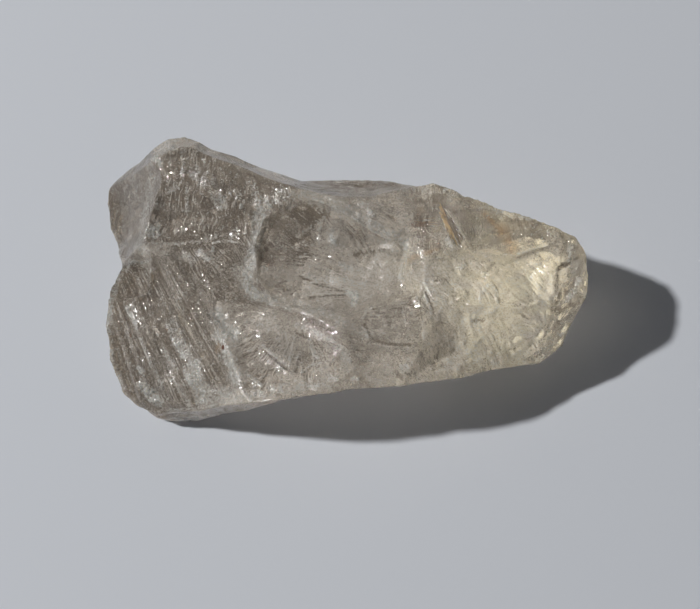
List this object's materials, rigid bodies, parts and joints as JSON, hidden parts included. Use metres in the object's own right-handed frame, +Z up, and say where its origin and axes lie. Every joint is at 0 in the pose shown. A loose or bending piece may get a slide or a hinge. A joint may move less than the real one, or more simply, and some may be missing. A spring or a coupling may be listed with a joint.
{
  "type": "rutilated quartz",
  "caption": "Rough lump of clear smoky quartz, broken on every side, with rutile needles sealed inside; it lies on a flat break.",
  "frame": {"origin": "on the surface the stone rests on, under the middle of its bounding box", "axes": "+X along the stone from its broad stepped end to its blunt end, +Y towards its peak and scalloped far slope, +Z up from the rest face"},
  "size_m": [0.0802, 0.0446, 0.0212],
  "materials": {
    "smoky_quartz": "clear pale smoky brown crystal, glossy breaks with frosted ridges"
  },
  "bodies": {
    "root": {"quartz_stone": "smoky_quartz"}
  },
  "joints": []
}
